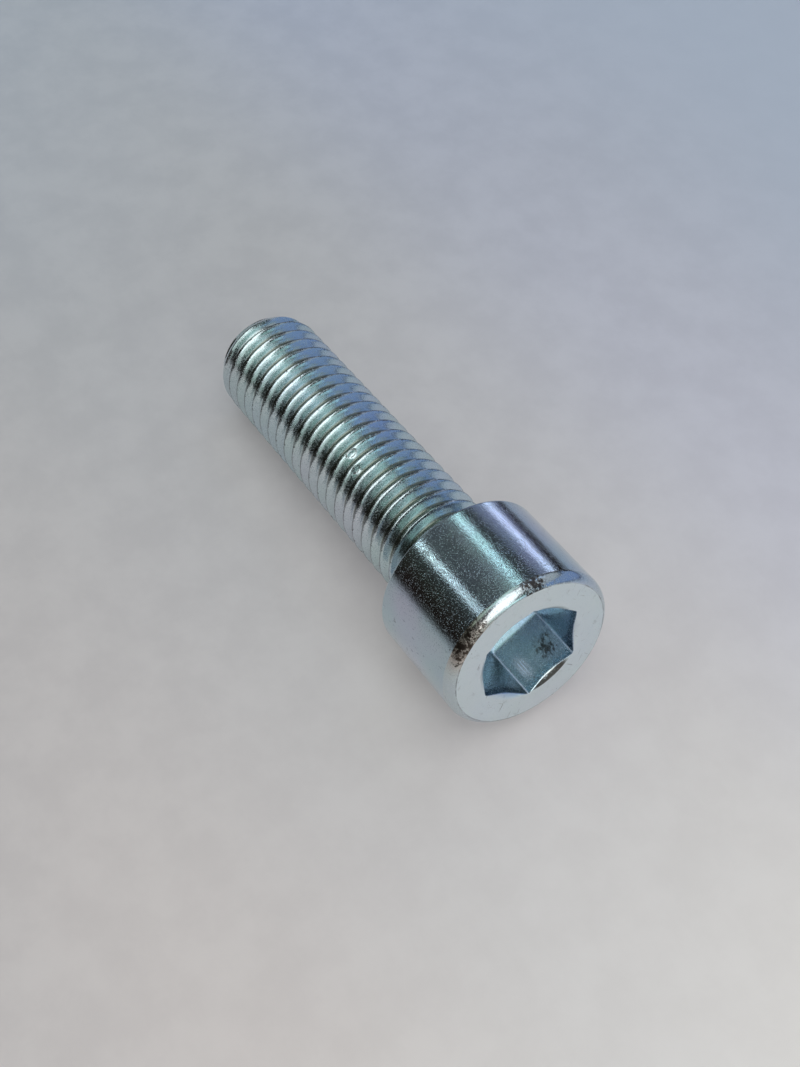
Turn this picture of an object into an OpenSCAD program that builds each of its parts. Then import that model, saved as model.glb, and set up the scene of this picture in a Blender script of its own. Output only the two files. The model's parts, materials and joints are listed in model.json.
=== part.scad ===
// Hex socket cap screw, metric M12 x 40, threaded up to the head.
// The screw lies on its side as it comes to rest on a table: the lower edge of the head and the
// end of the thread touch the plane z = 0, and the axis lies in the plane y = 0, falling to +X.
// The origin is on the table, below the middle of the screw.

/* [Head] */
// Diameter of the head
head_d = 18; // [16:0.2:24]
// Height of the head, from the seat to the top face
head_h = 12; // [10:0.2:18]
// Height of the rounding between the side and the top face
crown_h = 1.1; // [0.4:0.1:1.6]
// Width of the rounding, measured in from the side
crown_w = 0.7; // [0.2:0.1:0.9]
// Radius that breaks the edge of the seat
seat_edge_r = 0.3; // [0.1:0.1:0.6]

/* [Hex socket] */
// Width of the hexagon across its flats
socket_w = 10; // [6:0.2:12]
// Depth of the full hexagon
socket_depth = 6; // [4:0.2:8]
// Depth of the shallow cone that the punch leaves in the floor
floor_cone_h = 0.7; // [0.2:0.1:1.5]
// Width of the countersink at the mouth
mouth_d = 11.5; // [6.5:0.1:14]
// Included angle of the countersink
mouth_angle = 120; // [80:5:150]
// Turn of the lying screw about its axis, from a corner of the hexagon pointing up
screw_turn = 118; // [-180:1:180]

/* [Shank] */
// Diameter over the crests of the thread
thread_d = 12; // [8:0.2:14]
// Length below the head, tip included
shank_length = 40; // [20:1:100]
// Radius between the seat and the shank
neck_r = 0.6; // [0.2:0.1:1]
// Diameter of the flat end
point_d = 10; // [5:0.2:11]
// Length of the chamfer at the end
point_h = 1.8; // [0.5:0.1:3]

/* [Hidden] */
$fn = 96;
hexagon = 6;
// A cut runs this far past the face that it opens
overcut = 1;

head_r = head_d / 2;
thread_r = thread_d / 2;
point_r = point_d / 2;
mouth_r = mouth_d / 2;

// The crown is an arc that leaves the side without a break and meets the top face at an edge
crown_r = (crown_w * crown_w + crown_h * crown_h) / (2 * crown_w);

// Distance between two opposite corners of the socket, and how far its countersink is cut
socket_corner_d = socket_w / cos(30);
mouth_h = mouth_r / tan(mouth_angle / 2);

// Run from the centre of the seat's edge rounding to the last full crest of the thread, and the
// step down between them. The table touches the rounding and the crest, which sets the tilt.
rest_run = shank_length - point_h + seat_edge_r;
rest_step = head_r - seat_edge_r - thread_r;
rest_tilt = atan(rest_step / rest_run) + asin(seat_edge_r / norm([rest_run, rest_step]));

// Height of the seat's centre above the table: the edge rounding touches the table
seat_centre_z = (head_r - seat_edge_r) * cos(rest_tilt) + seat_edge_r * (1 - sin(rest_tilt));

// Ends of the lying screw along X, measured from the seat's centre
top_corner_x = -head_h * cos(rest_tilt) - (head_r - crown_w) * sin(rest_tilt);
tip_corner_x = shank_length * cos(rest_tilt) + point_r * sin(rest_tilt);
seat_centre_x = -(top_corner_x + tip_corner_x) / 2;

// The section is one side of the screw: x is the radius, y is the distance above the seat.
// Each cut takes off what lies outside a rounded edge of the head.
module crown_cut() {
    difference() {
        translate([head_r - crown_w, head_h - crown_h]) square([crown_w + overcut, crown_h + overcut]);
        translate([head_r - crown_r, head_h - crown_h]) circle(crown_r);
    }
}

module seat_edge_cut() {
    difference() {
        translate([head_r - seat_edge_r, -overcut]) square([seat_edge_r + overcut, seat_edge_r + overcut]);
        translate([head_r - seat_edge_r, seat_edge_r]) circle(seat_edge_r);
    }
}

module head_section() {
    difference() {
        square([head_r, head_h]);
        crown_cut();
        seat_edge_cut();
    }
}

module shank_section() {
    polygon([
        [0, -shank_length], [point_r, -shank_length], [thread_r, point_h - shank_length],
        [thread_r, overcut], [0, overcut]
    ]);
}

// Fills the corner between the seat and the shank
module neck_section() {
    difference() {
        translate([thread_r - overcut, -neck_r]) square([neck_r + overcut, neck_r + overcut]);
        translate([thread_r + neck_r, -neck_r]) circle(neck_r);
    }
}

module blank() {
    rotate_extrude() {
        head_section();
        shank_section();
        neck_section();
    }
}

// The socket opens upwards at z = 0. Two of its corners point along X.
module socket() {
    translate([0, 0, -socket_depth])
        cylinder(h = socket_depth + overcut, d = socket_corner_d, $fn = hexagon);
    translate([0, 0, -socket_depth - floor_cone_h])
        cylinder(h = floor_cone_h, r1 = 0, r2 = socket_w / 2);
    translate([0, 0, -mouth_h])
        cylinder(h = mouth_h, r1 = 0, r2 = mouth_r);
}

module cap_screw() {
    color("silver")
        translate([seat_centre_x, 0, seat_centre_z])
            rotate([0, rest_tilt - 90, 0]) rotate([0, 0, screw_turn])
                difference() {
                    blank();
                    translate([0, 0, head_h]) socket();
                }
}

cap_screw();
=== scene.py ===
"""Looks of the hex socket cap screw: a zinc-plated screw with a rolled thread, lying on a pale floor.

The screw is one closed mesh, made upright in millimetres on its own axis: the seat under the head is
the plane z = 0, the head stands above it and the shank hangs below. It is then laid where the frame's
screw lies. Constants and arguments give angles in degrees; round the axis they run from the side
that is up when the screw lies at rest.
"""

import json
import math

import bmesh
import bpy
from mathutils import Matrix, Vector


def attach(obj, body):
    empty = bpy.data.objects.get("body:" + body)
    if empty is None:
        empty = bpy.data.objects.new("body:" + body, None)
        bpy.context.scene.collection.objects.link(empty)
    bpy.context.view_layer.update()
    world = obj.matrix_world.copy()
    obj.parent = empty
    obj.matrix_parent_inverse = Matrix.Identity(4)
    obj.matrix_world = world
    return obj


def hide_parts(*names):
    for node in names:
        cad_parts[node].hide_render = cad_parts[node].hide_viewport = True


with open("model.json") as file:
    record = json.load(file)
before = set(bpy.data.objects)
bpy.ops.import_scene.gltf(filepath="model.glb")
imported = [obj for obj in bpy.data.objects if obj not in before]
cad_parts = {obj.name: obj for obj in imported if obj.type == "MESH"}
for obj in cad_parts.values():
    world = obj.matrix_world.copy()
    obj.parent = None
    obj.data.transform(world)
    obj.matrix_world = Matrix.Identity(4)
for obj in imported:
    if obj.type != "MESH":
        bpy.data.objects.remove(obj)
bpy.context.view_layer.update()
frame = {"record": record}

MM = 0.001
TURN = 2 * math.pi

# The finishes, in the order of the mesh's materials
SIDE, CROWN, FACE, SOCKET, THREAD = range(5)

# The head, a hair inside the frame's, so that its box holds this one
HEAD_R = 8.99
HEAD_H = 12.0
CROWN_W = 0.7
CROWN_H = 1.1
SEAT_EDGE_R = 0.3

# The hex socket, whose flats are slightly hollow and whose corners are slightly round
HEX_HALF_W = 5.0
HEX_TURN = -2.0
HEX_CORNER_R = 0.3
FLAT_HOLLOW = 0.07
SOCKET_DEPTH = 6.0
SOCKET_FOOT_R = 0.2
FLOOR_CONE_R = 4.7
FLOOR_CONE_H = 0.7

# The socket's mouth: a cone that steepens inwards between two angles to the face
MOUTH_R = 5.65
MOUTH_ANGLES = (20, 46)
MOUTH_EDGE = 0.06
MOUTH_LEAST = 0.01

# The shank and its rolled thread; the blank it is rolled from has the thread's pitch radius
SHANK_L = 40.0
PITCH = 1.75
THREAD_ANGLE = 60
CREST_R = 5.9
ROOT_R = 4.93
CREST_HALF_W = 0.08
CREST_ROUNDING = 0.03
ROOT_ROUNDING = 0.22
CREST_WAVINESS = 0.035
BLANK_R = 5.43
NECK_R = 0.6
RUNOUT_START = 0.7
RUNOUT_END = 1.9
POINT_R = 4.95
POINT_H = 2.1
POINT_ROUNDING = 0.1
POINT_SWELL = 1.6
THREAD_START = 0.53

# Nicks in the thread's crests: angle, distance from the seat, size and depth
NICKS = (
    (26, 15.9, 0.85, 0.3),
    (33, 14.0, 0.9, 0.32),
    (49, 23.2, 0.7, 0.2),
    (24, 29.0, 0.5, 0.15),
)
NICK_FLATNESS = 2.6

# The middles of marks, in the upright screw's millimetres: two soiled patches of the crown, a dark
# smear and a painted highlight down one wall of the socket, and the grime in the mouth below them
# with a painted highlight on its inner side
SOIL_TOP = (8.6, -0.6, 11.6)
SOIL_SIDE = (5.4, 6.7, 11.6)
SMEAR = (-3.85, -3.5, 9.3)
SOCKET_PAINTED_HIGHLIGHT = (-5.15, -0.96, 9.4)
MOUTH_GRIME_AND_PAINTED_HIGHLIGHT = (-4.9, -2.4, 11.8)

# The mesh: how finely it is divided, the narrow bands that hold an edge, and the distance within
# which points are one
AROUND = 160
ROWS_PER_PITCH = 20
ROW_CROWDING = 0.45
CREST_CROWDING = 0.35
SIDE_ROWS = 12
WALL_ROWS = 6
MOUTH_RINGS = 8
HOLD = 0.05
WELD = 0.0005
SHARP_ANGLE = 38

# The camera: where it looks, in metres, and from which direction and how far
CAMERA_TARGET = (0.000145, -0.001814, 0)
CAMERA_AZIMUTH = 148.17
CAMERA_ELEVATION = 49.68
CAMERA_RANGE = 0.18005
CAMERA_LENS = 57.356

# The lamps, in metres
LAMP_DISTANCE = 0.6
LAMP_CENTRE = (0, 0, 0.009)

# The floor, in metres: the middle of the pool of light painted into its colour, how far that painted
# light reaches from there, and the middle of the pale sheet and where the sheet fades out
FLOOR_HALF_W = 1.5
FLOOR_PAINTED_LIGHT_MIDDLE = (-0.1, -0.01, 0)
FLOOR_PAINTED_LIGHT_REACH = 0.3
SHEET_MIDDLE = (-0.04, -0.05, 0)
SHEET_FADE = (0.165, 0.215)

# The share of its own brightness that the floor adds where it is seen
FLOOR_GLOW = 0.4


def arc(centre_r, centre_z, radius, start, end, steps):
    """Points (r, z) of an arc of the section, from one angle to another."""
    points = []
    for step in range(steps + 1):
        angle = math.radians(start + (end - start) * step / steps)
        points.append((centre_r + radius * math.cos(angle), centre_z + radius * math.sin(angle)))
    return points


def head_section():
    """Outline of the head: from the seat round its edge and up the side, then over the crown."""
    crown_r = (CROWN_W ** 2 + CROWN_H ** 2) / (2 * CROWN_W)
    crown_end = math.degrees(math.asin(CROWN_H / crown_r))
    seat_edge = arc(HEAD_R - SEAT_EDGE_R, SEAT_EDGE_R, SEAT_EDGE_R, -90, 0, 8)
    crown = arc(HEAD_R - crown_r, HEAD_H - CROWN_H, crown_r, 0, crown_end, 16)
    low = SEAT_EDGE_R + HOLD
    high = HEAD_H - CROWN_H - HOLD
    side = [(HEAD_R, low + (high - low) * row / SIDE_ROWS) for row in range(SIDE_ROWS + 1)]
    seat_hold = [(HEAD_R - SEAT_EDGE_R - HOLD, 0.0)]
    face_hold = [(crown[-1][0] - HOLD, HEAD_H)]
    return seat_hold + seat_edge + side, crown + face_hold


def hex_angles():
    """Angles round the hexagon from corner to corner, crowded at the corners."""
    near_corner = [0.0, 0.35, 0.7, 1.05, 2.0, 4.0]
    along_side = [7.0 + 46.0 * step / 13 for step in range(14)]
    side = near_corner + along_side + [60.0 - a for a in reversed(near_corner[1:])]
    return [60.0 * corner + a for corner in range(6) for a in side]


def hex_radius(angle):
    """Distance from the axis to the socket's wall at an angle from a corner."""
    off_corner = (angle + 30.0) % 60.0 - 30.0
    half_side = math.radians(30)
    centre = (HEX_HALF_W - HEX_CORNER_R) / math.cos(half_side)
    reach = math.atan2(HEX_CORNER_R * 0.5, centre + HEX_CORNER_R * math.cos(half_side))
    if abs(off_corner) < math.degrees(reach):
        delta = math.radians(off_corner)
        across = centre * math.sin(delta)
        return centre * math.cos(delta) + math.sqrt(HEX_CORNER_R ** 2 - across ** 2)
    off_middle = math.radians(30.0 - abs(off_corner))
    along = math.tan(off_middle) / math.tan(half_side)
    return (HEX_HALF_W + FLAT_HOLLOW * (1 - along ** 2)) / math.cos(off_middle)


def cone_z(r):
    """Height of the mouth's cone at a distance from the axis."""
    first, last = (math.tan(math.radians(a)) for a in MOUTH_ANGLES)
    inward = max(0.0, MOUTH_R - r)
    return HEAD_H - inward * (first + (last - first) * inward / (2 * (MOUTH_R - HEX_HALF_W)))


def socket_rings():
    """Rings of the socket from its mouth to the middle of its floor, as lists of (angle, r, z)."""
    walls = [(angle, hex_radius(angle)) for angle in hex_angles()]
    floor_z = HEAD_H - SOCKET_DEPTH

    def ring(radius_of, height_of):
        """One ring, whose radius and height follow from the wall's distance w from the axis."""
        return [(angle, radius_of(w), height_of(w)) for angle, w in walls]

    def mouth(w):
        """Radius of the mouth's edge, which stays outside the wall at the corners."""
        return max(MOUTH_R, w + MOUTH_EDGE + MOUTH_LEAST)

    def down_cone(w):
        """Radius at the present share of the way from the mouth's edge to the wall."""
        return mouth(w) + (w + MOUTH_EDGE - mouth(w)) * share

    rings = [
        ring(lambda w: mouth(w) + HOLD, lambda w: HEAD_H),
        ring(mouth, lambda w: HEAD_H),
    ]
    for step in range(1, MOUTH_RINGS - 1):
        share = step / (MOUTH_RINGS - 2)
        rings.append(ring(down_cone, lambda w: cone_z(down_cone(w))))
    rings += [
        ring(lambda w: w + 0.3 * MOUTH_EDGE, lambda w: cone_z(w) - 0.2 * MOUTH_EDGE),
        ring(lambda w: w, lambda w: cone_z(w) - 1.3 * MOUTH_EDGE),
    ]
    for row in range(1, WALL_ROWS + 1):
        share = row / WALL_ROWS
        rings.append(ring(
            lambda w: w,
            lambda w: (1 - share) * (cone_z(w) - 2 * MOUTH_EDGE) + share * (floor_z + SOCKET_FOOT_R)))
    rings.append(ring(lambda w: w - 0.3 * SOCKET_FOOT_R, lambda w: floor_z + 0.3 * SOCKET_FOOT_R))
    rings.append(ring(lambda w: w - SOCKET_FOOT_R, lambda w: floor_z))
    for share in (1.0, 0.99, 0.75, 0.5, 0.25, 0.08):
        r = FLOOR_CONE_R * share
        rings.append(ring(lambda w: r, lambda w: floor_z - FLOOR_CONE_H * (1 - share)))
    return rings


class Formula:
    """Writes nodes into a node tree; a value is a number, a colour or another node's output."""

    def __init__(self, tree):
        self.tree = tree

    def feed(self, socket, value):
        """Gives a socket its value."""
        if isinstance(value, bpy.types.NodeSocket):
            self.tree.links.new(value, socket)
        else:
            socket.default_value = value

    def math(self, operation, *values):
        """One math node on up to three values."""
        node = self.tree.nodes.new("ShaderNodeMath")
        node.operation = operation
        for socket, value in zip(node.inputs, values):
            self.feed(socket, value)
        return node.outputs[0]

    def add(self, a, b):
        """The sum of two values."""
        return self.math("ADD", a, b)

    def subtract(self, a, b):
        """The first value less the second."""
        return self.math("SUBTRACT", a, b)

    def multiply(self, a, b):
        """The product of two values."""
        return self.math("MULTIPLY", a, b)

    def divide(self, a, b):
        """The first value over the second."""
        return self.math("DIVIDE", a, b)

    def split(self, vector):
        """The outputs X, Y and Z of a vector."""
        node = self.tree.nodes.new("ShaderNodeSeparateXYZ")
        self.feed(node.inputs[0], vector)
        return node.outputs


def thread_inputs(tree):
    """The sizes, counts and material that the thread's tree is given, as outputs inside it."""
    sizes = {
        "Pitch": PITCH,
        "Length": SHANK_L,
        "Crest Radius": CREST_R,
        "Root Radius": ROOT_R,
        "Crest Half Width": CREST_HALF_W,
        "Blank Radius": BLANK_R,
        "Neck Radius": NECK_R,
        "Run-out Start": RUNOUT_START,
        "Run-out End": RUNOUT_END,
        "Point Radius": POINT_R,
        "Point Height": POINT_H,
        "Start": THREAD_START,
        "Waviness": CREST_WAVINESS,
    }
    counts = {"Segments Around": AROUND, "Rows per Pitch": ROWS_PER_PITCH}
    for values, kind in ((sizes, "NodeSocketFloat"), (counts, "NodeSocketInt")):
        for name, value in values.items():
            socket = tree.interface.new_socket(name, in_out="INPUT", socket_type=kind)
            socket.default_value = value
    tree.interface.new_socket("Material", in_out="INPUT", socket_type="NodeSocketMaterial")
    return tree.nodes.new("NodeGroupInput").outputs


def thread_grid(f, given):
    """A flat grid of the thread, and each point's share of a turn and height above the tip."""
    tree = f.tree
    pitches = f.add(f.math("CEIL", f.divide(given["Length"], given["Pitch"])), 2)
    rows = f.multiply(pitches, given["Rows per Pitch"])
    grid = tree.nodes.new("GeometryNodeMeshGrid")
    grid.inputs["Size X"].default_value = 1
    grid.inputs["Size Y"].default_value = 1
    f.feed(grid.inputs["Vertices X"], f.add(given["Segments Around"], 1))
    f.feed(grid.inputs["Vertices Y"], f.add(rows, 1))
    place = f.split(tree.nodes.new("GeometryNodeInputPosition").outputs[0])
    turn = f.divide(
        f.math("ROUND", f.multiply(f.add(place["X"], 0.5), given["Segments Around"])),
        given["Segments Around"])
    row = f.math("ROUND", f.multiply(f.add(place["Y"], 0.5), rows))

    # The rows are counted in pitches, crowd at the crests and roots, and climb with the turn.
    even = f.divide(row, given["Rows per Pitch"])
    at_both = f.multiply(f.math("SINE", f.multiply(even, 2 * TURN)), ROW_CROWDING / (2 * TURN))
    at_crests = f.multiply(f.math("SINE", f.multiply(even, TURN)), CREST_CROWDING / TURN)
    crowded = f.subtract(f.subtract(even, at_both), at_crests)
    along = f.add(f.subtract(f.add(crowded, turn), 2), given["Start"])
    height = f.math("MAXIMUM", f.multiply(along, given["Pitch"]), 0.0)
    return grid.outputs["Mesh"], turn, f.math("MINIMUM", height, given["Length"])


def thread_form(f, given, turn, height):
    """Radius of the thread's form: a slightly wavy crest, straight flanks and a round root."""
    pitches_up = f.divide(height, given["Pitch"])
    wind = f.subtract(f.subtract(pitches_up, turn), given["Start"])
    phase = f.math("FRACT", f.add(wind, 8))
    from_crest = f.multiply(
        f.subtract(0.5, f.math("ABSOLUTE", f.subtract(phase, 0.5))), given["Pitch"])
    waves = f.tree.nodes.new("ShaderNodeTexNoise")
    waves.noise_dimensions = "1D"
    waves.inputs["Detail"].default_value = 3
    waves.inputs["Scale"].default_value = 14
    f.feed(waves.inputs["W"], f.subtract(pitches_up, phase))
    ripple = f.multiply(f.subtract(waves.outputs["Fac"], 0.5), given["Waviness"])
    crest = f.add(given["Crest Radius"], ripple)
    slope = 1 / math.tan(math.radians(THREAD_ANGLE / 2))
    flank = f.add(crest, f.multiply(f.subtract(given["Crest Half Width"], from_crest), slope))
    topped = f.math("SMOOTH_MIN", crest, flank, CREST_ROUNDING)
    return f.math("SMOOTH_MAX", topped, given["Root Radius"], ROOT_ROUNDING)


def run_out(f, given, full, height):
    """Fades the thread into the plain blank at the head, which meets the seat in a fillet."""
    from_head = f.subtract(given["Length"], height)
    fade = f.tree.nodes.new("ShaderNodeMapRange")
    fade.interpolation_type = "SMOOTHSTEP"
    f.feed(fade.inputs["Value"], from_head)
    f.feed(fade.inputs["From Min"], given["Run-out Start"])
    f.feed(fade.inputs["From Max"], given["Run-out End"])
    share = fade.outputs["Result"]
    body = f.add(
        f.multiply(full, share), f.multiply(given["Blank Radius"], f.subtract(1.0, share)))
    neck = given["Neck Radius"]
    gap = f.math("MAXIMUM", f.subtract(neck, from_head), 0.0)
    drop = f.math("SQRT", f.subtract(f.multiply(neck, neck), f.multiply(gap, gap)))
    return f.add(body, f.subtract(neck, drop))


def round_point(f, given, body, height):
    """Cuts the first turns down at the tip to a rounded point."""
    short = f.math("MAXIMUM", f.subtract(1.0, f.divide(height, given["Point Height"])), 0.0)
    swell = f.subtract(1.0, f.math("POWER", short, POINT_SWELL))
    point = f.add(
        given["Point Radius"],
        f.multiply(f.subtract(given["Crest Radius"], given["Point Radius"]), swell))
    return f.math("SMOOTH_MIN", body, point, POINT_ROUNDING)


def thread_tree():
    """Geometry nodes of the threaded shank: a grid, its rows along the helix, wrapped round the axis."""
    tree = bpy.data.node_groups.new("rolled thread", "GeometryNodeTree")
    given = thread_inputs(tree)
    tree.interface.new_socket("Geometry", in_out="OUTPUT", socket_type="NodeSocketGeometry")
    f = Formula(tree)
    grid, turn, height = thread_grid(f, given)
    full = thread_form(f, given, turn, height)
    radius = round_point(f, given, run_out(f, given, full, height), height)

    angle = f.multiply(turn, TURN)
    wrapped = tree.nodes.new("ShaderNodeCombineXYZ")
    f.feed(wrapped.inputs["X"], f.multiply(radius, f.math("COSINE", angle)))
    f.feed(wrapped.inputs["Y"], f.multiply(radius, f.math("SINE", angle)))
    f.feed(wrapped.inputs["Z"], f.subtract(height, given["Length"]))

    # How far each point stands above the root, as a share of the thread's depth, for the finish.
    keep = tree.nodes.new("GeometryNodeStoreNamedAttribute")
    keep.data_type = "FLOAT"
    keep.domain = "POINT"
    keep.inputs["Name"].default_value = "thread_height"
    f.feed(keep.inputs["Geometry"], grid)
    depth = f.subtract(given["Crest Radius"], given["Root Radius"])
    f.feed(keep.inputs["Value"], f.divide(f.subtract(radius, given["Root Radius"]), depth))

    move = tree.nodes.new("GeometryNodeSetPosition")
    f.feed(move.inputs["Geometry"], keep.outputs[0])
    f.feed(move.inputs["Position"], wrapped.outputs[0])
    weld = tree.nodes.new("GeometryNodeMergeByDistance")
    weld.inputs["Distance"].default_value = WELD
    f.feed(weld.inputs["Geometry"], move.outputs[0])
    realize = tree.nodes.new("GeometryNodeRealizeInstances")
    f.feed(realize.inputs[0], weld.outputs[0])
    paint = tree.nodes.new("GeometryNodeSetMaterial")
    f.feed(paint.inputs["Geometry"], realize.outputs[0])
    f.feed(paint.inputs["Material"], given["Material"])
    out = tree.nodes.new("NodeGroupOutput")
    f.feed(out.inputs["Geometry"], paint.outputs[0])
    return tree


def thread_mesh(material):
    """The threaded shank as a plain mesh, open at both ends."""
    tree = thread_tree()
    carrier = bpy.data.objects.new("thread_carrier", bpy.data.meshes.new("thread_carrier"))
    bpy.context.scene.collection.objects.link(carrier)
    modifier = carrier.modifiers.new("thread", "NODES")
    modifier.node_group = tree
    for item in tree.interface.items_tree:
        if item.in_out == "INPUT" and item.name == "Material":
            modifier[item.identifier] = material
    graph = bpy.context.evaluated_depsgraph_get()
    mesh = bpy.data.meshes.new_from_object(carrier.evaluated_get(graph))
    bpy.data.objects.remove(carrier)
    return mesh


def add_ring(bm, ring):
    """Vertices of a closed ring of (angle, r, z)."""
    verts = []
    for angle, r, z in ring:
        a = math.radians(angle)
        verts.append(bm.verts.new((r * math.cos(a), r * math.sin(a), z)))
    return verts


def skin(bm, rings, finish):
    """Quads between neighbouring rings of equal length."""
    for low, high in zip(rings, rings[1:]):
        for i in range(len(low)):
            j = (i + 1) % len(low)
            face = bm.faces.new((low[i], low[j], high[j], high[i]))
            face.material_index = finish


def close(bm, ring, middle, finish):
    """Triangles from a closed ring of vertices to the point in its middle."""
    for i, vert in enumerate(ring):
        face = bm.faces.new((vert, ring[(i + 1) % len(ring)], middle))
        face.material_index = finish


def loop_edges(bm, verts):
    """Edges between neighbouring vertices of a closed ring."""
    edges = []
    for i, vert in enumerate(verts):
        other = verts[(i + 1) % len(verts)]
        edges.append(bm.edges.get((vert, other)) or bm.edges.new((vert, other)))
    return edges


def fill(bm, edges, finish):
    """Flat faces inside one loop or between two loops of edges."""
    made = bmesh.ops.triangle_fill(bm, edges=edges, use_beauty=True)["geom"]
    for item in made:
        if isinstance(item, bmesh.types.BMFace):
            item.material_index = finish


def open_edges_at(bm, z):
    """Open edges that lie in the plane at height z."""
    near = 0.01
    return [e for e in bm.edges if e.is_boundary and all(abs(v.co.z - z) < near for v in e.verts)]


def nick_place(angle, from_seat):
    """A point on the thread's crests, on the upright screw."""
    turn = math.radians(angle)
    return Vector((math.cos(turn) * CREST_R, math.sin(turn) * CREST_R, -from_seat))


def dent(bm, angle, from_seat, size, depth):
    """Presses the thread in at one place, longer along the crest than across it."""
    centre = nick_place(angle, from_seat)
    for vert in bm.verts:
        offset = vert.co - centre
        offset.z *= NICK_FLATNESS
        away = offset.length / size
        if away < 1:
            outward = Vector((vert.co.x, vert.co.y, 0)).normalized()
            vert.co -= outward * depth * (1 - away ** 2) ** 2


def add_head(bm):
    """The head's side and crown and the socket's walls and floor; returns the face's two loops."""
    side, crown = head_section()
    rings = [
        add_ring(bm, [(360.0 * i / AROUND, r, z) for i in range(AROUND)])
        for r, z in side + crown
    ]
    skin(bm, rings[:len(side)], SIDE)
    skin(bm, rings[len(side) - 1:], CROWN)
    socket = [
        add_ring(bm, [(a + HEX_TURN, r, z) for a, r, z in ring])
        for ring in socket_rings()
    ]
    skin(bm, socket[:MOUTH_RINGS], FACE)
    skin(bm, socket[MOUTH_RINGS - 1:], SOCKET)
    middle = bm.verts.new((0, 0, HEAD_H - SOCKET_DEPTH - FLOOR_CONE_H))
    close(bm, socket[-1], middle, SOCKET)
    return loop_edges(bm, rings[-1]) + loop_edges(bm, socket[0])


def flatten_ends(mesh):
    """Flat shading for the seat and the end of the tip, which are flat and square to the axis."""
    for polygon in mesh.polygons:
        heights = [mesh.vertices[i].co.z for i in polygon.vertices]
        if any(all(abs(height - z) < WELD for height in heights) for z in (0.0, -SHANK_L)):
            polygon.use_smooth = False


def lay_down():
    """The matrix from the upright screw in millimetres to its place in the frame in metres."""
    mounts = {m["name"]: m for m in frame["record"]["mounts"]}
    to_tip = Vector(mounts["thread"]["axis"]).normalized()
    mouth = Vector(mounts["hex_socket"]["pos_m"])
    seat = mouth + to_tip * HEAD_H * MM
    to_head = -to_tip
    side = Vector((0, 1, 0))
    up = side.cross(to_head)
    turn = Matrix((up, side, to_head)).transposed().to_4x4()
    return Matrix.Translation(seat) @ turn @ Matrix.Scale(MM, 4)


def screw_mesh(materials):
    """The whole screw as one closed mesh in the frame's place."""
    bm = bmesh.new()
    bm.from_mesh(thread_mesh(materials[THREAD]))
    for face in bm.faces:
        face.material_index = THREAD
    face_loops = add_head(bm)
    fill(bm, face_loops, FACE)
    fill(bm, open_edges_at(bm, 0.0), SIDE)
    fill(bm, open_edges_at(bm, -SHANK_L), FACE)
    bmesh.ops.remove_doubles(bm, verts=bm.verts, dist=WELD)
    for nick in NICKS:
        dent(bm, *nick)
    bmesh.ops.recalc_face_normals(bm, faces=bm.faces)
    for face in bm.faces:
        face.smooth = True
    mesh = bpy.data.meshes.new("screw")
    bm.to_mesh(mesh)
    bm.free()
    for material in materials:
        mesh.materials.append(material)
    upright = mesh.attributes.new("upright", "FLOAT_VECTOR", "POINT")
    for vert, place in zip(mesh.vertices, upright.data):
        place.vector = vert.co
    mesh.set_sharp_from_angle(angle=math.radians(SHARP_ANGLE))
    flatten_ends(mesh)
    mesh.transform(lay_down())
    return mesh


class Shading(Formula):
    """Writes texture and mask nodes as well as formulas into a shader tree."""

    def attribute(self, name):
        """A value kept on the mesh's points, as the outputs Vector and Fac."""
        node = self.tree.nodes.new("ShaderNodeAttribute")
        node.attribute_name = name
        return node.outputs

    def stretched(self, vector, x, y, z):
        """A vector times a fixed number along each axis."""
        node = self.tree.nodes.new("ShaderNodeVectorMath")
        node.operation = "MULTIPLY"
        self.feed(node.inputs[0], vector)
        node.inputs[1].default_value = (x, y, z)
        return node.outputs[0]

    def away_from(self, vector, x, y, z):
        """Distance of a place from a point."""
        node = self.tree.nodes.new("ShaderNodeVectorMath")
        node.operation = "DISTANCE"
        self.feed(node.inputs[0], vector)
        node.inputs[1].default_value = (x, y, z)
        return node.outputs["Value"]

    def from_axis(self, at):
        """Distance of a place on the upright screw from its axis."""
        return self.away_from(self.stretched(at, 1.0, 1.0, 0.0), 0, 0, 0)

    def noise(self, vector, size, detail=2.0, roughness=0.5):
        """Soft noise with patches of about a size."""
        node = self.tree.nodes.new("ShaderNodeTexNoise")
        self.feed(node.inputs["Vector"], vector)
        self.feed(node.inputs["Scale"], 1 / size)
        self.feed(node.inputs["Detail"], detail)
        self.feed(node.inputs["Roughness"], roughness)
        return node.outputs["Fac"]

    def step(self, value, low, high, to_low=0.0, to_high=1.0):
        """A smooth step from one level to another while a value goes from low to high."""
        node = self.tree.nodes.new("ShaderNodeMapRange")
        node.interpolation_type = "SMOOTHSTEP"
        for socket, given in zip(node.inputs, (value, low, high, to_low, to_high)):
            self.feed(socket, given)
        return node.outputs["Result"]

    def mix(self, share, a, b):
        """The first colour where the share is 0, the second where it is 1."""
        node = self.tree.nodes.new("ShaderNodeMix")
        node.data_type = "RGBA"
        colours = [socket for socket in node.inputs if socket.type == "RGBA"]
        self.feed(node.inputs["Factor"], share)
        self.feed(colours[0], a)
        self.feed(colours[1], b)
        return next(socket for socket in node.outputs if socket.type == "RGBA")

    def ramp(self, value, *stops):
        """A colour that runs through stops of (position, colour)."""
        node = self.tree.nodes.new("ShaderNodeValToRGB")
        self.feed(node.inputs["Fac"], value)
        elements = node.color_ramp.elements
        for element, (position, colour) in ((elements[0], stops[0]), (elements[1], stops[-1])):
            element.position = position
            element.color = (*colour, 1)
        for position, colour in stops[1:-1]:
            elements.new(position).color = (*colour, 1)
        return node.outputs["Color"]

    def group(self, tree, **values):
        """A node group with its inputs given by name: its outputs."""
        node = self.tree.nodes.new("ShaderNodeGroup")
        node.node_tree = tree
        for name, value in values.items():
            self.feed(node.inputs[name], value)
        return node.outputs


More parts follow.
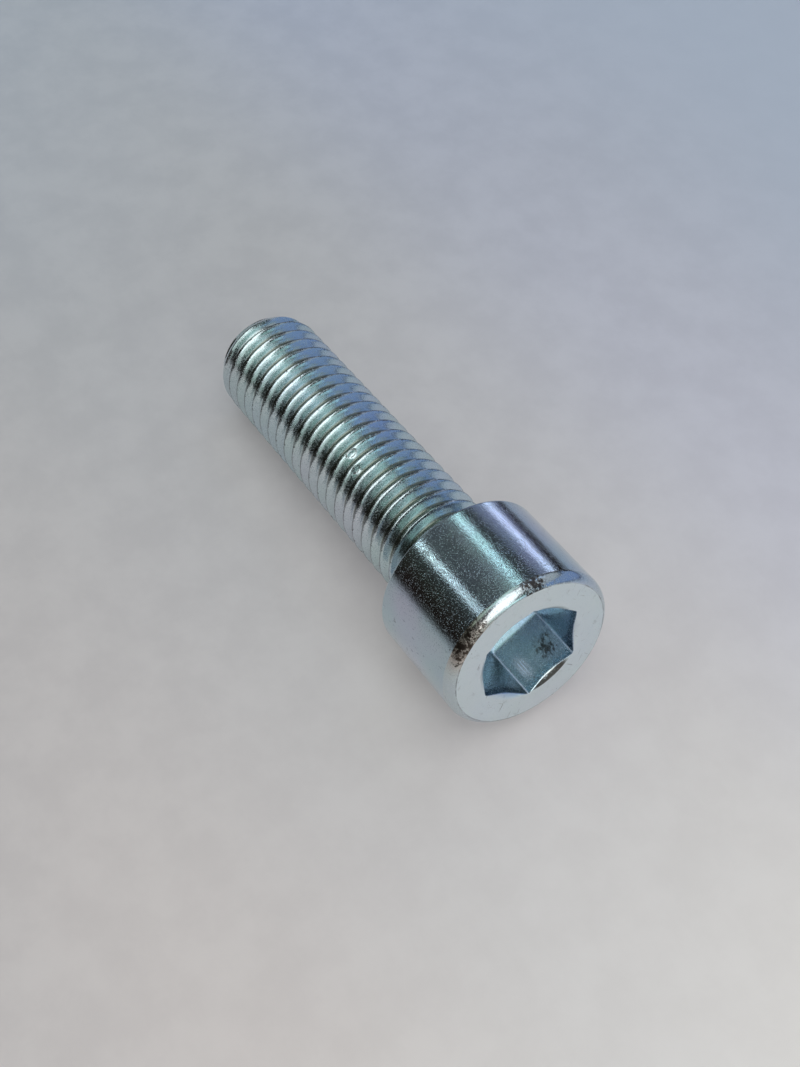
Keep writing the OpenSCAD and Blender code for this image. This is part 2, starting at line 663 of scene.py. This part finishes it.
def new_group(name, inputs, outputs):
    """An empty shader group with named sockets: a writer, what it is given and what it puts out."""
    tree = bpy.data.node_groups.new(name, "ShaderNodeTree")
    for socket_name, kind in inputs.items():
        tree.interface.new_socket(socket_name, in_out="INPUT", socket_type="NodeSocket" + kind)
    for socket_name, kind in outputs.items():
        tree.interface.new_socket(socket_name, in_out="OUTPUT", socket_type="NodeSocket" + kind)
    given = tree.nodes.new("NodeGroupInput").outputs
    result = tree.nodes.new("NodeGroupOutput").inputs
    return Shading(tree), given, result


def grain_group():
    """Fine crystals of the plating: a mask of the dull ones, and the height of the skin."""
    g, given, result = new_group(
        "plating grain",
        {"Position": "Vector", "Coverage": "Float"},
        {"Dull": "Float", "Height": "Float"})
    at = given["Position"]
    coarse = g.noise(at, 0.8, 3, 0.6)
    fine = g.noise(at, 0.14, 2, 0.75)
    both = g.add(g.multiply(coarse, 0.25), g.multiply(fine, 0.75))
    edge = g.subtract(0.66, g.multiply(given["Coverage"], 0.24))
    g.feed(result["Dull"], g.step(both, g.subtract(edge, 0.03), g.add(edge, 0.03)))
    flecks = g.step(g.noise(at, 0.11, 1, 0.5), 0.6, 0.78)
    g.feed(result["Height"], g.add(both, g.multiply(flecks, 0.9)))
    return g.tree


def film_group():
    """The thin passivated film on the zinc, whose tint drifts between blue, sea green and lilac."""
    g, given, result = new_group(
        "passivated film",
        {"Position": "Vector", "Strength": "Float", "Zinc": "Color"},
        {"Colour": "Color"})
    tint = g.ramp(
        g.noise(given["Position"], 9.0, 2),
        (0.3, (0.5, 0.62, 0.88)),
        (0.5, (0.52, 0.74, 0.72)),
        (0.72, (0.7, 0.66, 0.84)))
    g.feed(result["Colour"], g.mix(given["Strength"], given["Zinc"], tint))
    return g.tree


def specks_group():
    """Sparse dark specks of dirt and oxide, gathered in loose patches."""
    g, given, result = new_group(
        "dark specks", {"Position": "Vector", "Amount": "Float"}, {"Dark": "Float"})
    patches = g.noise(given["Position"], 2.6, 2)
    fine = g.noise(given["Position"], 0.2, 3, 0.7)
    share = g.multiply(given["Amount"], g.step(patches, 0.35, 0.7, 0.15, 0.45))
    edge = g.subtract(0.86, share)
    g.feed(result["Dark"], g.step(fine, edge, g.add(edge, 0.03)))
    return g.tree


def scratches_group():
    """Short fine scratches that run two ways."""
    g, given, result = new_group(
        "fine scratches", {"Position": "Vector", "Amount": "Float"}, {"Scratched": "Float"})
    marks = []
    for turn, threshold in ((25, 0.8), (-50, 0.815)):
        turned = g.tree.nodes.new("ShaderNodeVectorRotate")
        turned.inputs["Angle"].default_value = math.radians(turn)
        g.feed(turned.inputs["Vector"], given["Position"])
        line = g.noise(g.stretched(turned.outputs[0], 0.35, 6.0, 1.0), 1.0, 1)
        edge = g.subtract(threshold, g.multiply(given["Amount"], 0.2))
        marks.append(g.step(line, edge, g.add(edge, 0.02)))
    g.feed(result["Scratched"], g.math("MAXIMUM", *marks))
    return g.tree


def side_marks(g, at, groups):
    """The side of the head: a few scratches along it."""
    scratched = g.group(groups["scratches"], Position=at, Amount=0.45)["Scratched"]
    return {
        "dark": g.multiply(scratched, 0.35),
        "dull": g.multiply(scratched, 0.5),
        "height": scratched,
    }


def crown_marks(g, at, groups):
    """The crown: soiled in two broad patches, and darker in a broken line along the edge where it meets
    the face.
    """
    by_side = g.step(g.away_from(at, *SOIL_SIDE), 0.0, 5.0)
    patches = g.add(
        g.step(g.away_from(at, *SOIL_TOP), 0.0, 3.0, 0.25, 0.0),
        g.step(by_side, 0.0, 1.0, 0.24, 0.0))
    soiled = g.step(g.add(g.noise(at, 0.55, 5, 0.75), patches), 0.66, 0.74)
    from_edge = g.math("ABSOLUTE", g.subtract(g.from_axis(at), HEAD_R - CROWN_W))
    line = g.step(from_edge, 0.02, 0.1, 1.0, 0.0)
    edge = g.multiply(line, g.step(g.noise(at, 0.9, 3, 0.75), 0.45, 0.6))
    dirt = g.math("MAXIMUM", soiled, g.multiply(edge, 0.45))
    return {
        "stain_and_painted_light": g.step(by_side, 0.2, 1.0, 0.7, 0.0),
        "stain_and_painted_light_colour": (0.5, 0.4, 0.32, 1),
        "dark": dirt,
        "dull": dirt,
        "height": g.multiply(dirt, 1.2),
    }


def face_marks(g, at, groups):
    """The face and the socket's mouth: fine scratches, faint cloudy stains, and grime in the mouth with
    a painted highlight on its inner side.
    """
    scratched = g.group(groups["scratches"], Position=at, Amount=0.4)["Scratched"]
    stains = g.step(g.noise(at, 1.1, 5, 0.7), 0.56, 0.72)
    from_axis = g.from_axis(at)
    in_mouth = g.step(from_axis, MOUTH_R, MOUTH_R + 0.06, 1.0, 0.0)
    near = g.multiply(in_mouth, g.step(g.away_from(at, *MOUTH_GRIME_AND_PAINTED_HIGHLIGHT), 1.6, 2.7, 1.0, 0.0))
    outer = g.step(from_axis, MOUTH_R - 0.52, MOUTH_R - 0.4)
    caked = g.step(g.noise(at, 0.22, 3, 0.75), 0.28, 0.44)
    grime = g.multiply(g.multiply(near, outer), caked)
    # Painted highlight: the mouth's inner side next to the grime is painted nearly white and made
    # shinier.
    painted_highlight = g.multiply(near, g.subtract(1.0, outer))
    dark = g.add(g.multiply(scratched, 0.4), g.multiply(stains, 0.16))
    return {
        "stain_and_painted_light": painted_highlight,
        "stain_and_painted_light_colour": (1, 1, 0.97, 1),
        "dark": g.math("MAXIMUM", dark, g.multiply(grime, 0.92)),
        "dull": g.multiply(g.add(scratched, stains), g.subtract(1.0, painted_highlight)),
        "height": g.add(scratched, grime),
    }


def socket_marks(g, at, groups):
    """The socket: lines drawn down the walls, painted highlights along the corners and in a pale streak
    down one wall, and a dark smear by that streak.
    """
    drawn = 0.45
    lines = g.noise(g.stretched(at, 7.0, 7.0, 0.35), 1.0, 2)
    down_wall = g.stretched(at, 1.0, 1.0, drawn)
    near = g.step(g.away_from(at, *SMEAR), 0.0, 2.4, 0.13, -0.2)
    smear = g.step(g.add(g.noise(down_wall, 0.3, 4, 0.75), near), 0.52, 0.6)
    # Painted highlights: thin pale lines along the hex corners.
    place = g.split(at)
    angle = g.subtract(g.math("ARCTAN2", place["Y"], place["X"]), math.radians(HEX_TURN))
    from_corner = g.math("PINGPONG", angle, math.radians(30))
    corner = g.step(from_corner, math.radians(0.3), math.radians(1.4), 1.0, 0.0)
    # Painted highlight: a pale streak down one wall, broken up by the drawn lines.
    from_painted_highlight = g.away_from(down_wall, SOCKET_PAINTED_HIGHLIGHT[0], SOCKET_PAINTED_HIGHLIGHT[1], drawn * SOCKET_PAINTED_HIGHLIGHT[2])
    near_painted_highlight = g.step(from_painted_highlight, 0.1, 1.0, 1.0, 0.0)
    painted_highlight = g.multiply(near_painted_highlight, g.step(lines, 0.35, 0.6, 0.35, 1.0))
    # The pale blue colour and the matt finish paint these highlights in.
    return {
        "stain_and_painted_light": g.math("MAXIMUM", painted_highlight, corner),
        "stain_and_painted_light_colour": (0.72, 0.84, 1, 1),
        "matt_painted_highlight": g.math("MAXIMUM", g.multiply(painted_highlight, 0.85), g.multiply(corner, 0.6)),
        "dark": g.multiply(smear, 0.85),
        "dull": g.math("MAXIMUM", g.multiply(smear, 0.6), painted_highlight),
        "height": lines,
    }


def nick_dark_rings(g, at, dirt):
    """Adds a broken dark ring round each nick to the thread's dark marks."""
    broken = g.step(g.noise(at, 0.4, 2), 0.42, 0.56)
    for angle, from_seat, size, _ in NICKS:
        place = nick_place(angle, from_seat)
        offset = g.stretched(at, 1.0, 1.0, NICK_FLATNESS)
        away = g.away_from(offset, place.x, place.y, place.z * NICK_FLATNESS)
        from_ring = g.math("ABSOLUTE", g.subtract(away, 0.8 * size))
        ring = g.step(from_ring, 0.03, 0.14 * size, 1.0, 0.0)
        dirt = g.math("MAXIMUM", dirt, g.multiply(ring, broken))
    return dirt


def thread_marks(g, at, groups):
    """The thread: painted shade in its roots, and darker on the crests here and there and round each
    nick.
    """
    height = g.attribute("thread_height")["Fac"]
    place = g.split(at)
    # The crests are darker in patches, a little more along the top and the underside, and in a broken
    # line along their very top.
    crest = g.step(height, 0.84, 0.97)
    thin = g.step(g.noise(at, 0.5, 3, 0.75), 0.4, 0.55, 0.5, 0.85)
    ridge = g.multiply(g.step(height, 0.93, 1.0), thin)
    along_top = g.step(g.math("ABSOLUTE", g.add(place["Y"], 0.5)), 0.2, 1.0, 0.12, 0.0)
    patchy = g.step(g.add(g.noise(at, 0.35, 3, 0.75), along_top), 0.56, 0.64)
    dirt = nick_dark_rings(g, at, g.math("MAXIMUM", g.multiply(crest, patchy), ridge))
    # Painted shade: away from the point, the roots are painted a dark olive that stands in for their
    # shade.
    above_point = g.step(place["Z"], 0.6 * POINT_H - SHANK_L, POINT_H - SHANK_L)
    root = g.multiply(above_point, g.step(height, 0.03, 0.24, 1.0, 0.0))
    return {
        "stain_and_painted_light": g.multiply(root, 0.85),
        "stain_and_painted_light_colour": (0.075, 0.085, 0.05, 1),
        "dark": g.multiply(dirt, 0.8),
        "dull": g.math("MAXIMUM", g.multiply(dirt, 0.4), g.multiply(root, 0.5)),
        "height": g.multiply(dirt, 0.8),
    }


def zinc(name, groups, marks, colour, mirror, dull, coverage, film, dirt, relief):
    """Zinc plating: mirror-like crystals among dull ones under a tinted film, with specks and marks.

    mirror and dull are the roughness of the two kinds of crystal, coverage the share of dull ones,
    film and dirt the strength of the film and the specks, relief the depth of the skin in millimetres.
    """
    material = bpy.data.materials.new(name)
    material.use_nodes = True
    shader = material.node_tree.nodes["Principled BSDF"]
    g = Shading(material.node_tree)
    at = g.attribute("upright")["Vector"]
    crystals = g.group(groups["grain"], Position=at, Coverage=coverage)
    tint = g.group(groups["film"], Position=at, Strength=film, Zinc=(*colour, 1))["Colour"]
    specks = g.group(groups["specks"], Position=at, Amount=dirt)["Dark"]
    clouds = g.noise(at, 2.5, 3)
    marked = marks(g, at, groups)

    # The marks' colours go in here: real stains, painted highlights and painted shade.
    if "stain_and_painted_light" in marked:
        tint = g.mix(marked["stain_and_painted_light"], tint, marked["stain_and_painted_light_colour"])
    dark = g.math("MINIMUM", g.add(g.multiply(specks, 0.8), marked["dark"]), 0.92)
    g.feed(shader.inputs["Base Color"], g.mix(dark, tint, (0.045, 0.03, 0.022, 1)))

    dulled = g.math("MINIMUM", g.add(crystals["Dull"], g.add(marked["dull"], specks)), 1.0)
    cloudy = g.multiply(g.subtract(clouds, 0.5), 0.5 * mirror)
    g.feed(shader.inputs["Roughness"], g.add(g.step(dulled, 0.0, 1.0, mirror, dull), cloudy))

    # Where a highlight is painted in, the zinc is made matt, so that its pale colour shows up as the
    # highlight.
    metallic = g.subtract(1.0, marked["matt_painted_highlight"]) if "matt_painted_highlight" in marked else 1
    g.feed(shader.inputs["Metallic"], metallic)

    bump = g.tree.nodes.new("ShaderNodeBump")
    bump.inputs["Strength"].default_value = 1
    bump.inputs["Distance"].default_value = relief * MM
    skin_height = g.add(crystals["Height"], g.multiply(clouds, 0.6))
    worn = g.add(g.multiply(specks, 0.8), g.multiply(marked["height"], 0.8))
    g.feed(bump.inputs["Height"], g.subtract(skin_height, worn))
    g.feed(shader.inputs["Normal"], bump.outputs["Normal"])
    return material


def direction(azimuth, elevation):
    """A unit vector that points to an azimuth and an elevation."""
    a, e = math.radians(azimuth), math.radians(elevation)
    return Vector((math.cos(e) * math.cos(a), math.cos(e) * math.sin(a), math.sin(e)))


def aim(thing, centre, toward, distance):
    """Puts a lamp or camera at a distance from a centre, facing it."""
    bpy.context.scene.collection.objects.link(thing)
    thing.location = Vector(centre) + toward * distance
    thing.rotation_euler = toward.to_track_quat("Z", "Y").to_euler()


def softbox(name, azimuth, elevation, width, height, level, tint):
    """A rectangular lamp that fills an angle of width by height, seen from the screw."""
    data = bpy.data.lights.new(name, "AREA")
    data.shape = "RECTANGLE"
    data.size = 2 * LAMP_DISTANCE * math.tan(math.radians(width / 2))
    data.size_y = 2 * LAMP_DISTANCE * math.tan(math.radians(height / 2))
    data.energy = level * math.pi * data.size * data.size_y
    data.color = tint
    lamp = bpy.data.objects.new(name, data)
    lamp.visible_camera = False
    aim(lamp, LAMP_CENTRE, direction(azimuth, elevation), LAMP_DISTANCE)


def camera():
    """The camera, beyond the head and above it, looking down along the screw."""
    data = bpy.data.cameras.new("camera")
    data.sensor_width = 36
    data.lens = CAMERA_LENS
    data.clip_start = 0.01
    eye = bpy.data.objects.new("camera", data)
    aim(eye, CAMERA_TARGET, direction(CAMERA_AZIMUTH, CAMERA_ELEVATION), CAMERA_RANGE)
    bpy.context.scene.camera = eye


def sheet_colour_with_painted_light(g, at):
    """Colour of the pale sheet with painted light: a painted pool of light in front of the head, and
    painted warm light on one side and cooler, dimmer light on the other.
    """
    # Painted light: the sheet is painted lightest round one point in front of the head, and darker with
    # distance from it.
    sheet = g.ramp(
        g.divide(g.away_from(at, *FLOOR_PAINTED_LIGHT_MIDDLE), FLOOR_PAINTED_LIGHT_REACH),
        (0.035 / FLOOR_PAINTED_LIGHT_REACH, (0.61, 0.574, 0.55)),
        (0.075 / FLOOR_PAINTED_LIGHT_REACH, (0.477, 0.45, 0.445)),
        (0.11 / FLOOR_PAINTED_LIGHT_REACH, (0.41, 0.396, 0.402)),
        (0.15 / FLOOR_PAINTED_LIGHT_REACH, (0.362, 0.362, 0.374)),
        (0.21 / FLOOR_PAINTED_LIGHT_REACH, (0.335, 0.359, 0.397)))
    mottle = g.step(g.noise(at, 0.006, 4, 0.6), 0.3, 0.7, 0.0, 0.05)
    sheet = g.mix(mottle, sheet, (1, 0.98, 0.96, 1))
    # Painted tints of light: warmer on one side, cooler on the other, and dimmer and bluer far off on
    # that side.
    across = g.split(at)["Y"]
    painted_warm_light = g.step(across, 0.01, 0.045)
    painted_cool_light = g.step(across, -0.045, -0.01, 1.0, 0.0)
    painted_far_dimming = g.step(across, -0.095, -0.04, 0.8, 0.0)
    sheet = g.mix(painted_warm_light, sheet, g.stretched(sheet, 1.07, 1.03, 1.0))
    sheet = g.mix(painted_cool_light, sheet, g.stretched(sheet, 0.97, 1.0, 1.11))
    return g.mix(painted_far_dimming, sheet, (0.35, 0.395, 0.47, 1))


def pale_floor():
    """The floor's material: the pale sheet with a dim room beyond it, a little brighter where seen."""
    material = bpy.data.materials.new("pale_floor")
    material.use_nodes = True
    shader = material.node_tree.nodes["Principled BSDF"]
    g = Shading(material.node_tree)
    at = g.tree.nodes.new("ShaderNodeTexCoord").outputs["Object"]
    beyond = g.step(g.away_from(at, *SHEET_MIDDLE), *SHEET_FADE)
    colour = g.mix(beyond, sheet_colour_with_painted_light(g, at), (0.03, 0.025, 0.022, 1))
    g.feed(shader.inputs["Base Color"], colour)
    g.feed(shader.inputs["Emission Color"], colour)
    path = g.tree.nodes.new("ShaderNodeLightPath").outputs
    reflected = g.math("MAXIMUM", path["Is Glossy Ray"], path["Is Transmission Ray"])
    seen = g.math("MAXIMUM", path["Is Camera Ray"], reflected)
    g.feed(shader.inputs["Emission Strength"], g.multiply(seen, FLOOR_GLOW))
    shader.inputs["Roughness"].default_value = 0.8
    return material


def floor():
    """A wide floor that the screw lies on."""
    w = FLOOR_HALF_W
    mesh = bpy.data.meshes.new("floor")
    corners = [(-w, -w, 0), (w, -w, 0), (w, w, 0), (-w, w, 0)]
    mesh.from_pydata(corners, [], [(0, 1, 2, 3)])
    mesh.materials.append(pale_floor())
    plane = bpy.data.objects.new("floor", mesh)
    bpy.context.scene.collection.objects.link(plane)


def room():
    """The world: a dim room, darkest at the horizon and paler overhead."""
    world = bpy.data.worlds.new("room")
    world.use_nodes = True
    g = Shading(world.node_tree)
    upward = g.split(g.tree.nodes.new("ShaderNodeTexCoord").outputs["Generated"])["Z"]
    colour = g.ramp(
        upward,
        (0.0, (0.012, 0.006, 0.005)),
        (0.35, (0.03, 0.028, 0.022)),
        (0.6, (0.05, 0.055, 0.055)),
        (0.8, (0.1, 0.105, 0.11)),
        (0.95, (0.4, 0.41, 0.42)))
    g.feed(g.tree.nodes["Background"].inputs["Color"], colour)
    bpy.context.scene.world = world


def lamps():
    """The light round the screw: a window, some sky, and strips that draw streaks along the head."""
    softbox("window", 163, 45, width=42, height=46, level=1.8, tint=(0.97, 1, 1))
    softbox("window_foot", 173, 15, width=42, height=13, level=0.85, tint=(0.86, 1, 0.95))
    softbox("window_sill", 171, 5, width=44, height=7, level=0.45, tint=(0.8, 1, 0.9))
    softbox("sky_end", -163, 14, width=24, height=22, level=0.5, tint=(0.6, 1, 0.95))
    softbox("ceiling", 160, 80, width=34, height=34, level=1.2, tint=(1, 1, 1))
    softbox("sky", -117, 13, width=94, height=26, level=0.5, tint=(0.4, 0.58, 1))
    softbox("high_sky", -105, 41, width=64, height=26, level=0.45, tint=(0.85, 0.9, 1))
    softbox("far_sky", -42, 18, width=28, height=30, level=0.34, tint=(0.6, 0.66, 1))
    softbox("far_window", 14, 33, width=44, height=15, level=0.35, tint=(0.9, 1, 1))
    softbox("lilac_strip", -53, 17, width=12, height=7, level=1.7, tint=(0.72, 0.78, 1))
    softbox("mint_strip", -24, 47.5, width=9, height=5, level=2.5, tint=(0.7, 1, 1))
    softbox("mint_edge", -9, 51, width=10, height=6, level=0.15, tint=(0.85, 1, 1))
    softbox("zenith", 20, 69, width=44, height=18, level=0.6, tint=(0.66, 0.97, 0.88))
    softbox("zenith_side", 66, 46, width=22, height=24, level=0.5, tint=(0.75, 1, 0.85))
    softbox("zenith_blue", -64, 55, width=24, height=18, level=0.7, tint=(0.4, 0.6, 1))
    softbox("white_strip", 40, 37, width=3.4, height=3.4, level=6.4, tint=(0.85, 1, 1))


def zincs():
    """The five finishes of the plated steel, in the order of the mesh's materials."""
    groups = {
        "grain": grain_group(),
        "film": film_group(),
        "specks": specks_group(),
        "scratches": scratches_group(),
    }
    return [
        zinc("zinc_side", groups, side_marks, colour=(0.5, 0.57, 0.65), mirror=0.06, dull=0.2,
             coverage=0.3, film=0.3, dirt=0.4, relief=0.013),
        zinc("zinc_crown", groups, crown_marks, colour=(0.6, 0.65, 0.68), mirror=0.11, dull=0.3,
             coverage=0.35, film=0.2, dirt=0.4, relief=0.01),
        zinc("zinc_face", groups, face_marks, colour=(0.77, 0.84, 0.87), mirror=0.34, dull=0.5,
             coverage=0.6, film=0.1, dirt=0.5, relief=0.014),
        zinc("zinc_socket", groups, socket_marks, colour=(0.5, 0.56, 0.62), mirror=0.1, dull=0.3,
             coverage=0.35, film=0.35, dirt=0.5, relief=0.014),
        zinc("zinc_thread", groups, thread_marks, colour=(0.58, 0.66, 0.68), mirror=0.13, dull=0.32,
             coverage=0.38, film=0.25, dirt=0.4, relief=0.008),
    ]


camera()
floor()
room()
lamps()

screw = bpy.data.objects.new("cap_screw_threaded", screw_mesh(zincs()))
bpy.context.scene.collection.objects.link(screw)
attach(screw, "root")
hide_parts("cap_screw")

bpy.context.scene.view_settings.view_transform = "Standard"
